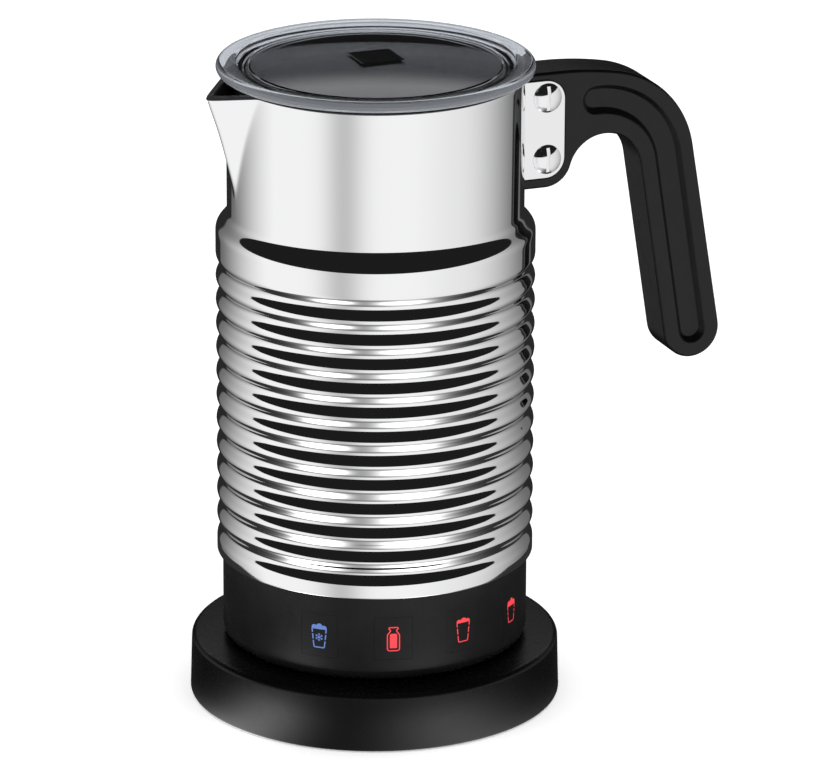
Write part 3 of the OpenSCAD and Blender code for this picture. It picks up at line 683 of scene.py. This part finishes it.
def icons():
    """The mark on each key: cold foam, hot milk, a little foam and much foam."""
    marks = {
        "cold_foam": ("icon_blue", cup_icon(2.2, 1.9, 0.42) + snowflake()),
        "hot_milk": ("icon_red", bottle_icon()),
        "light_foam": ("icon_red", cup_icon(2.4, 1.6, 0.34)),
        "thick_foam": ("icon_red", cup_icon(1.5, 2.5, 0.32)),
    }
    for name, angle in zip(KEYS, KEY_ANGLES):
        slot, lines = marks[name]
        bm = bmesh.new()
        for left, right in lines:
            ribbon(bm, angle, left, right)
        bmesh.ops.recalc_face_normals(bm, faces=bm.faces)
        piece(from_bmesh("icon_" + name, bm), "key_" + name, slot)


# ---------------------------------------------------------------- jug


def shell_radius(z):
    """The turned part of the jug's wall: hem, ribs, plain band, shoulder and neck."""
    wave = RIB_R - RIB_DEPTH / 2 * (1 - np.cos(TAU * (z - RIB_FIRST) / RIB_PITCH))
    ribbed = (z >= RIB_FIRST) & (z <= SHOULDER_CREST)
    neck = RIB_R - (RIB_R - NECK_R) * steep_ease((z - SHOULDER_Z) / (NECK_Z - SHOULDER_Z))
    return np.where(ribbed, wave, neck)


def with_spout(radius, height, inset, turn):
    """Adds the spout's wedge to a turned wall: arrays of rows by columns, xyz last."""
    lift = (height - SPOUT_LOW_Z) / (RIM_Z - SPOUT_LOW_Z)
    phi = np.minimum(np.abs(np.angle(-np.exp(1j * turn))), math.atan(SPOUT_FLARE))
    side = np.sqrt(np.sin(phi) ** 2 + SPOUT_KEEL**2)
    wedge = (NECK_R - SPOUT_INSET * inset + SPOUT_REACH * lift) / (np.cos(phi) + SPOUT_FLARE * side)
    blend = SPOUT_BLEND * ease((height - SPOUT_LOW_Z + SPOUT_BLEND_H) / SPOUT_BLEND_H)
    r = np.where(blend > 0, soft_max(radius, wedge, np.maximum(blend, 1e-6)), radius)
    x, y = r * np.cos(turn), r * np.sin(turn)
    share = ease((height - SPOUT_SAG_Z) / (SHELL_TOP - SPOUT_SAG_Z))
    drop = SPOUT_DROP * np.maximum(0, SPOUT_JOIN_X - x) * share
    return np.stack([x, y, height - drop], axis=-1)


def wall_turns():
    """Column angles, closer together at the spout."""
    fine = math.pi + np.radians(np.linspace(-32, 32, 97))
    coarse = np.radians(np.linspace(212, 508, 200)[1:-1])
    return np.concatenate([fine, coarse])


def outer_shell():
    """The polished shell: a thin sheet with ribs, a shoulder and the spout."""
    ribs = RIB_FIRST + RIB_PITCH * np.arange(0, RIB_COUNT + 0.001, 1 / 14)
    heights = [SHELL_BOTTOM + 0.12, SHELL_BOTTOM + 0.3, 49, 50.3, *ribs]
    heights += [*np.linspace(SHOULDER_CREST + 0.5, SHOULDER_Z - 0.5, 6)]
    heights += [*np.linspace(SHOULDER_Z, NECK_Z, 27), *np.linspace(NECK_Z + 1, SHELL_TOP - 0.4, 34)]
    outside = [(0.0, z) for z in heights]
    hem = [(0.06, SHELL_TOP - 0.12), (0.4, SHELL_TOP), (0.74, SHELL_TOP - 0.12)]
    inside = [(SHEET, z) for z in heights[::-3]]
    foot = [(0.74, SHELL_BOTTOM + 0.06), (0.4, SHELL_BOTTOM), (0.06, SHELL_BOTTOM + 0.06)]
    rows = outside + hem + inside + foot
    inset = np.array([p[0] for p in rows])[:, None]
    z = np.array([p[1] for p in rows])[:, None]
    turn = wall_turns()[None, :]
    points = with_spout(shell_radius(z) - inset + 0 * turn, z + 0 * turn, inset, turn)
    piece(grid("shell", points), "jug", "jug_chrome", ["outer_shell"], angle=60)


def inner_cup():
    """The coated cup inside the shell, with the lip that covers the shell's edge."""
    inner = CUP_R - SHEET
    heights = [*np.linspace(66, 160, 10), *np.linspace(164, SHELL_TOP - 0.4, 24)]
    low = [(0, CUP_FLOOR)] + arc((CUP_R - CUP_CORNER, CUP_FLOOR + CUP_CORNER), CUP_CORNER, -90, 0, 10)
    rows = [(r, z, CUP_OUTSIDE) for r, z in low]
    rows += [(CUP_R, z, CUP_OUTSIDE) for z in [*heights, SHELL_TOP]]
    lip, edge = NECK_R + 0.2, 0.3
    rows += [(lip, SHELL_TOP, -0.2), (lip, SHELL_TOP + edge, -0.2), (lip - edge, RIM_Z, 0.0)]
    rows += [(inner + edge, RIM_Z, CUP_INSIDE - 0.2), (inner, RIM_Z - edge, CUP_INSIDE)]
    rows += [(inner, z, CUP_INSIDE) for z in heights[::-1]]
    bend = CUP_CORNER - 1
    rows += [(r, z, CUP_INSIDE) for r, z in arc((inner - bend, CUP_FLOOR + CUP_CORNER), bend, 0, -90, 10)]
    rows += [(0, CUP_FLOOR + 1, CUP_INSIDE)]
    radius, z, inset = (np.array([row[i] for row in rows])[:, None] for i in range(3))
    turn = wall_turns()[None, :]
    points = with_spout(radius + 0 * turn, z + 0 * turn, inset, turn)
    points[radius[:, 0] == 0, :, 0:2] = 0
    piece(grid("cup", points), "jug", "nonstick_black", ["inner_cup"], angle=50)


# ---------------------------------------------------------------- handle


def heel():
    """The centre of the convex heel under the grip, and the angle where it meets the inner arc."""
    (cx, cz), radius = INNER_ARC
    reach = radius + HEEL_R
    dz = HANDLE_LOW + HEEL_R - cz
    centre = (cx - math.sqrt(reach**2 - dz**2), HANDLE_LOW + HEEL_R)
    return centre, math.degrees(math.atan2(dz, centre[0] - cx))


def handle_outline(inset):
    """The side view of the handle, drawn inset mm inside its edge."""
    centre, angle = heel()
    start = NECK_R - 2
    crown = (CROWN_X, HANDLE_TOP - CROWN_R)
    corner = arc(crown, CROWN_R - CORNER_R, CROWN_END, 90, 1)[0]
    points = [(start, HANDLE_TOP - inset)]
    points += arc(crown, CROWN_R - inset, 90, CROWN_END, 12)
    points += arc(corner, CORNER_R - inset, CROWN_END, GRIP_TILT, 30)[1:]
    points += arc(END_ARC[0], END_ARC[1] - inset, GRIP_TILT, GRIP_TILT - 180, 28)
    points += arc(INNER_ARC[0], INNER_ARC[1] + inset, GRIP_TILT, angle, 30)
    points += arc(centre, HEEL_R - inset, angle - 180, -90, 14)[1:]
    points += [(start, HANDLE_LOW + inset)]
    return points


def groove_outline(width):
    """The outline of the grip groove, a bent slot of that width."""
    (centre, radius), half = GROOVE_ARC, width / 2
    top = arc(centre, radius, GROOVE_START, 90, 1)[0]
    points = arc(top, half, GROOVE_START + 180, GROOVE_START, 14)
    points += arc(centre, radius + half, GROOVE_START, GRIP_TILT, 24)[1:]
    points += arc(END_ARC[0], half, GRIP_TILT, GRIP_TILT - 180, 14)
    points += arc(centre, radius - half, GRIP_TILT, GROOVE_START, 24)[:-1]
    return points


def bracket_outline(inset):
    """The side view of the bracket's cheek, drawn inset mm inside its edge."""
    r, x, low, high = BRACKET_CORNER - inset, BRACKET_X - inset, BRACKET_LOW + inset, BRACKET_HIGH - inset
    points = [(NECK_R - 2, low)]
    points += arc((x - r, low + r), r, -90, 0, 12)
    points += arc((x - r, high - r), r, 0, 90, 12)
    points += [(NECK_R - 2, high)]
    return points


def plate(name, outline, low, high, edge, groove=None):
    """A plate in the XZ plane with rounded edges and, if asked, a groove in both faces.

    outline(inset) gives its edge, and groove is a list of (width, depth) steps."""
    bm = bmesh.new()

    def loop(points, y):
        return [bm.verts.new((x * MM, y * MM, z * MM)) for x, z in points]

    def bridge(a, b):
        n = len(a)
        for i in range(n):
            bm.faces.new((a[i], a[(i + 1) % n], b[(i + 1) % n], b[i]))

    def fill(loops):
        corners = [vertex for points in loops for vertex in points]
        for triangle in tessellate_polygon([[v.co / MM for v in points] for points in loops]):
            bm.faces.new([corners[i] for i in triangle])

    sides = []
    for face, sign in ((low, 1), (high, -1)):
        loops = []
        for a in np.radians(np.linspace(0, 90, 7)):
            loops.append(loop(outline(edge * (1 - math.cos(a))), face + sign * edge * (1 - math.sin(a))))
        for a, b in zip(loops, loops[1:]):
            bridge(a, b)
        if groove:
            inner = [loop(groove_outline(width), face + sign * depth) for width, depth in groove]
            for a, b in zip(inner, inner[1:]):
                bridge(a, b)
            fill([loops[-1], inner[0]])
            fill([inner[-1]])
        else:
            fill([loops[-1]])
        sides.append(loops[0])
    bridge(*sides)
    bmesh.ops.remove_doubles(bm, verts=bm.verts, dist=1e-7)
    bmesh.ops.recalc_face_normals(bm, faces=bm.faces)
    return from_bmesh(name, bm)


def groove_profile():
    """From the face down to the groove's floor: a rounded lip, a soft slope and a rounded foot."""
    mouth, floor_w = GROOVE_W + 1.0, GROOVE_W - 3.5
    steps = []
    for a in np.radians(np.linspace(90, 25, 6)):
        steps.append((mouth - 2 * GROOVE_LIP * math.cos(a), GROOVE_LIP * (1 - math.sin(a))))
    for a in np.radians(np.linspace(205, 270, 6)):
        depth = GROOVE_DEPTH - GROOVE_FOOT * (1 + math.sin(a))
        steps.append((floor_w - 2 * GROOVE_FOOT * math.cos(a), depth))
    return steps


def neck_cutter(*steps):
    """A turned solid that trims a piece to the neck's curve; steps are more points of its outline."""
    low, high = 150, 210
    outline = [(0, low), (SADDLE_R, low), *steps, (SADDLE_R, high), (0, high)]
    return lathe("neck", outline, NECK_SEGMENTS)


def handle():
    """The grip with its long groove, cut to fit the neck, its saddle and the cheeks."""
    half = HANDLE_T / 2
    grip = plate("grip", handle_outline, -half, half, 1.0, groove_profile())
    low, high, out = BRACKET_LOW - 0.1, BRACKET_HIGH + 0.1, SADDLE_R + SADDLE_T
    cut(grip, neck_cutter((SADDLE_R, low), (out, low), (out, high), (SADDLE_R, high)))
    for low, high in ((-half - 1, -CHEEK_Y), (CHEEK_Y, half + 1)):
        cut(grip, prism("pocket", bracket_outline(-0.3), low, high))
    piece(grip, "jug", "handle_black", ["handle"], angle=32, weighted=True)


def bracket():
    """Two cheeks beside the handle, joined by a saddle behind it."""
    parts = []
    for low, high in ((-CHEEK_OUT, -CHEEK_Y), (CHEEK_Y, CHEEK_OUT)):
        cheek = plate("cheek", bracket_outline, low, high, 0.3)
        cut(cheek, neck_cutter())
        parts.append(cheek)
    low, high, out = BRACKET_LOW, BRACKET_HIGH, SADDLE_R + SADDLE_T
    saddle = lathe("saddle", [(SADDLE_R, low), (out, low), (out, high), (SADDLE_R, high)], NECK_SEGMENTS)
    near, far = SADDLE_R - 6.55, BRACKET_X - 0.5
    reach = [(near, low - 1), (far, low - 1), (far, high + 1), (near, high + 1)]
    cut(saddle, prism("reach", reach, -CHEEK_Y - 0.5, CHEEK_Y + 0.5), operation="INTERSECT")
    whole = join("bracket", parts + [saddle])
    piece(whole, "jug", "fitting_chrome", ["handle_bracket"], angle=32, weighted=True)


def screw_head(name, side, z):
    """A slotted dome head on a cheek; side is -1 at the front and 1 at the back."""
    rim, lip, shank, edge, slot_floor = SCREW_R, 0.25, 2.4, 0.1, 0.8
    cap = (rim**2 + (SCREW_H - lip) ** 2) / (2 * (SCREW_H - lip))
    half = math.degrees(math.asin(rim / cap))
    outline = [(0, -1.0), (shank, -1.0), (shank, 0.0), (rim - edge, 0.0), (rim, edge)]
    outline += arc((0, SCREW_H - cap), cap, 90 - half + 0.6, 90, 14)
    head = lathe(name, outline, 96)
    slot = [(-SLOT_W / 2, -6), (SLOT_W / 2, -6), (SLOT_W / 2, 6), (-SLOT_W / 2, 6)]
    cut(head, prism("slot", slot, slot_floor, 3, upright))
    bevel(head, edge, 2, 40)
    for vertex in head.data.vertices:
        u, v, level = vertex.co
        vertex.co = (u + SCREW_X * MM, side * (level + CHEEK_OUT * MM), v + z * MM)
    clean(head.data)
    return head


def screws():
    """Two screw heads on the front cheek and two sleeve nut heads on the back one."""
    for side, name, node in ((-1, "screw_head", "handle_screws"), (1, "nut_head", "handle_sleeve_nuts")):
        for index, z in enumerate(SCREW_ZS):
            head = screw_head(f"{name}_{index + 1}", side, z)
            piece(head, "jug", "fitting_chrome", [node], angle=32, weighted=True)


# ---------------------------------------------------------------- lid


def lid():
    """The press-in lid: a thick clear rim, a valley, a shallow dome and the skirt under it."""
    dome_r, rise = VALLEY_R - 0.4, DOME_TOP - VALLEY_Z - 0.4
    cap = (dome_r**2 + rise**2) / (2 * rise)
    half = math.degrees(math.asin(dome_r / cap))
    outline = [(0, DOME_TOP - 2.2), (VALLEY_R - 2, VALLEY_Z - 1.6), (SKIRT_R - SKIRT_WALL, LID_UNDER - 0.6)]
    outline += [(SKIRT_R - SKIRT_WALL, SKIRT_LOW), (SKIRT_R, SKIRT_LOW)]
    outline += [(SKIRT_R, SKIRT_LOW + 1), (SKIRT_R - SEAL_GROOVE, SKIRT_LOW + 1)]
    outline += [(SKIRT_R - SEAL_GROOVE, SKIRT_LOW + 5), (SKIRT_R, SKIRT_LOW + 5)]
    nose = (LID_TOP - LID_UNDER) / 2
    outline += [(SKIRT_R, LID_UNDER)] + arc((LID_R - nose, LID_UNDER + nose), nose, -90, 90, 24)
    outline += [(RIM_STEP_R, LID_TOP - 0.1), (RIM_STEP_R - 0.4, LID_TOP - 0.25)]
    outline += [(RIM_STEP_R - 0.8, VALLEY_Z + 0.5), (RIM_STEP_R - 1.1, VALLEY_Z + 0.1)]
    outline += [(RIM_STEP_R - 1.5, VALLEY_Z), (VALLEY_R + 0.3, VALLEY_Z), (VALLEY_R, VALLEY_Z + 0.1)]
    outline += arc((0, DOME_TOP - cap), cap, 90 - half, 90, 24)
    disc = lathe("lid_clear", outline)
    cut(disc, badge_block("pocket", 0.0, 2.0))
    piece(disc, "lid", "lid_smoke", ["lid_disc"], angle=30)


def badge_block(name, gap, height):
    """A block of the plaque's outline, from its underside up to a height."""
    w, d, low = BADGE_W / 2 - gap, BADGE_D / 2 - gap, DOME_TOP - BADGE_T
    return prism(name, [(-w, -d), (w, -d), (w, d), (-w, d)], low, low + height, upright)


def badge():
    """The black plaque on the lid."""
    plaque = badge_block("plaque", 0.05, BADGE_T)
    bevel(plaque, 0.12, 3)
    piece(plaque, "lid", "badge_black", ["lid_badge"], angle=32, weighted=True)


# ---------------------------------------------------------------- whisk


def whisk_spring():
    """The coiled wire round the whisk."""
    steps, sides = COIL_TURNS * 24, 10
    t = np.linspace(0, TAU, steps, endpoint=False)[:, None]
    p = COIL_TURNS * t
    reach = RING_R + COIL_R * np.cos(p)
    centre = np.concatenate([reach * np.cos(t), reach * np.sin(t), RING_Z + COIL_R * np.sin(p)], axis=1)
    out = np.concatenate([np.cos(p) * np.cos(t), np.cos(p) * np.sin(t), np.sin(p)], axis=1)
    along = np.roll(centre, -1, axis=0) - np.roll(centre, 1, axis=0)
    side = np.cross(along, out)
    side /= np.linalg.norm(side, axis=1, keepdims=True)
    a = np.linspace(0, TAU, sides, endpoint=False)[None, :, None]
    rows = centre[:, None] + WIRE_R * (np.cos(a) * out[:, None] + np.sin(a) * side[:, None])
    piece(grid("spring", rows), "whisk", "wire_steel", ["whisk_spring"], angle=60)


# ---------------------------------------------------------------- stage


def floor():
    """The plain pale floor, which the shiny pieces don't reflect: they get floor_light instead."""
    half = 6
    corners = [(-half, -half, 0), (half, -half, 0), (half, half, 0), (-half, half, 0)]
    mesh = bpy.data.meshes.new("floor")
    mesh.from_pydata(corners, [], [(0, 1, 2, 3)])
    obj = as_object("floor", mesh)
    made = shader("floor_white", (0.9, 0.9, 0.9), roughness=0.9, emission_strength=0.36)
    principled(made).inputs["Emission Color"].default_value = (1, 1, 1, 1)
    obj.data.materials.append(made)
    obj.visible_glossy = False


def light_material(name):
    """An empty material with a point's direction: its turn from the front in degrees, its y and its z."""
    made = bpy.data.materials.new(name)
    made.use_nodes = True
    made.node_tree.nodes.clear()
    place = add_node(made, "ShaderNodeTexCoord")
    unit = add_node(made, "ShaderNodeVectorMath", operation="NORMALIZE")
    split = add_node(made, "ShaderNodeSeparateXYZ")
    wire(made, place.outputs["Object"], unit.inputs[0])
    wire(made, unit.outputs[0], split.inputs[0])
    x, y, z = split.outputs
    turn = compute(made, "ARCTAN2", x, compute(made, "MULTIPLY", y, -1))
    return made, compute(made, "MULTIPLY", turn, 180 / math.pi), y, z


def reflected_light(obj, material, strength):
    """Makes obj a light that only reflections show, turned with its front to the main view's side."""
    glow = add_node(material, "ShaderNodeEmission")
    out = add_node(material, "ShaderNodeOutputMaterial")
    wire(material, strength, glow.inputs["Strength"])
    wire(material, glow.outputs[0], out.inputs["Surface"])
    material.cycles.emission_sampling = "NONE"
    obj.data.materials.append(material)
    obj.rotation_euler.z = math.radians(-CAMERA_TURN)
    obj.visible_camera = obj.visible_diffuse = obj.visible_shadow = False
    obj.visible_transmission = obj.visible_volume_scatter = False


def pool(material, turn, middle, width, strength):
    """A soft bell of light round a direction."""
    off = compute(material, "DIVIDE", compute(material, "SUBTRACT", turn, middle), width)
    bell = compute(material, "EXPONENT", compute(material, "MULTIPLY", off, off, -1))
    return compute(material, "MULTIPLY", bell, strength)


def studio():
    """The soft studio that the shiny surfaces reflect: a white sweep under a dark ceiling.

    The sweep darkens towards the back, where it is open low down and white above the opening."""
    bpy.ops.mesh.primitive_uv_sphere_add(segments=64, ring_count=32, radius=8, location=(0, 0, 0.1))
    obj = bpy.context.object
    obj.name = "studio"
    made, turn, y, z = light_material("studio_light")
    left = fade(made, turn, -150, -74, 0.14, 0.98)
    right = fade(made, turn, 146, 62, 0.14, 0.82)
    right = compute(made, "ADD", right, fade(made, turn, 70, 22, 0, 0.12))
    sides = compute(made, "MINIMUM", left, right)
    walls = compute(made, "SUBTRACT", sides, pool(made, turn, -24, 15.5, 0.39))
    behind = fade(made, compute(made, "ABSOLUTE", turn), 147, 151, 0, 1)
    low_down = fade(made, z, 0.46, 0.33, 0, 1)
    high_wall = compute(made, "MULTIPLY", behind, compute(made, "SUBTRACT", 1.0, low_down), 0.95)
    opening = compute(made, "SUBTRACT", 1.0, compute(made, "MULTIPLY", behind, low_down, 0.93))
    walls = compute(made, "MULTIPLY", compute(made, "MAXIMUM", walls, high_wall), opening)
    walls = compute(made, "MULTIPLY", walls, fade(made, z, -0.95, -0.7, 0.45, 1))
    slope = compute(made, "MULTIPLY", compute(made, "ADD", y, 1), 0.282)
    below_ceiling = fade(made, compute(made, "SUBTRACT", z, slope), -0.012, 0.012, 1, 0)
    light = compute(made, "ADD", compute(made, "MULTIPLY", walls, below_ceiling), 0.012)
    reflected_light(obj, made, light)


def floor_light():
    """What the satin base reflects: two soft pools of light on the floor, left and right of the front."""
    columns, level = 96, 0.3
    turns = np.linspace(0, TAU, columns, endpoint=False)
    radii = (58, 75, 95, 125, 150, 166)
    vertices = [(r * math.cos(a), r * math.sin(a), level) for r in radii for a in turns]
    obj = as_object("floor_light", mesh_from("floor_light", vertices, quads(len(radii), columns)))
    made, turn, _, _ = light_material("floor_pools")
    reach = axis_distance(made)
    near, far = 85 * MM, 115 * MM
    left = compute(made, "MULTIPLY", pool(made, turn, -43, 16, 2.2), fade(made, reach, near, far, 1, 0.06))
    right = compute(made, "MULTIPLY", pool(made, turn, 28, 22, 1.35), fade(made, reach, near, far, 1, 0.17))
    low = fade(made, compute(made, "ABSOLUTE", turn), 45, 95, 0.1, 0.015)
    light = compute(made, "MULTIPLY", compute(made, "ADD", left, right, low), 2)
    reflected_light(obj, made, light)


def camera():
    """The main view, from the front and a little towards the spout."""
    data = bpy.data.cameras.new("camera")
    data.lens, data.sensor_width, data.shift_x = CAMERA_LENS, CAMERA_SENSOR, CAMERA_SHIFT
    obj = bpy.data.objects.new("camera", data)
    SCENE.collection.objects.link(obj)
    turn, rise = math.radians(CAMERA_TURN), math.radians(CAMERA_RISE)
    back = Vector((-math.sin(turn) * math.cos(rise), -math.cos(turn) * math.cos(rise), math.sin(rise)))
    obj.location = CAMERA_AIM + back * CAMERA_DISTANCE
    level = back.to_track_quat("Z", "Y")
    obj.rotation_euler = (Quaternion(back, math.radians(CAMERA_ROLL)) @ level).to_euler()
    SCENE.camera = obj


def world():
    """Even white light from all sides."""
    made = bpy.data.worlds.new("white")
    made.use_nodes = True
    sky = made.node_tree.nodes["Background"]
    sky.inputs["Color"].default_value = (1, 1, 1, 1)
    sky.inputs["Strength"].default_value = 1.05
    SCENE.world = made
    SCENE.view_settings.view_transform = "Standard"


def cad_nodes():
    """The pieces that keep their CAD shape get smooth shading and their slot's material."""
    for name, obj in NODES.items():
        obj.data.materials.clear()
        obj.data.materials.append(MATERIALS[SLOT_OF[name]])
        smooth(obj, 30)


cad_nodes()
foot_housing()
control_housing()
keys()
icons()
outer_shell()
inner_cup()
handle()
bracket()
screws()
lid()
badge()
whisk_spring()
floor()
studio()
floor_light()
camera()
world()
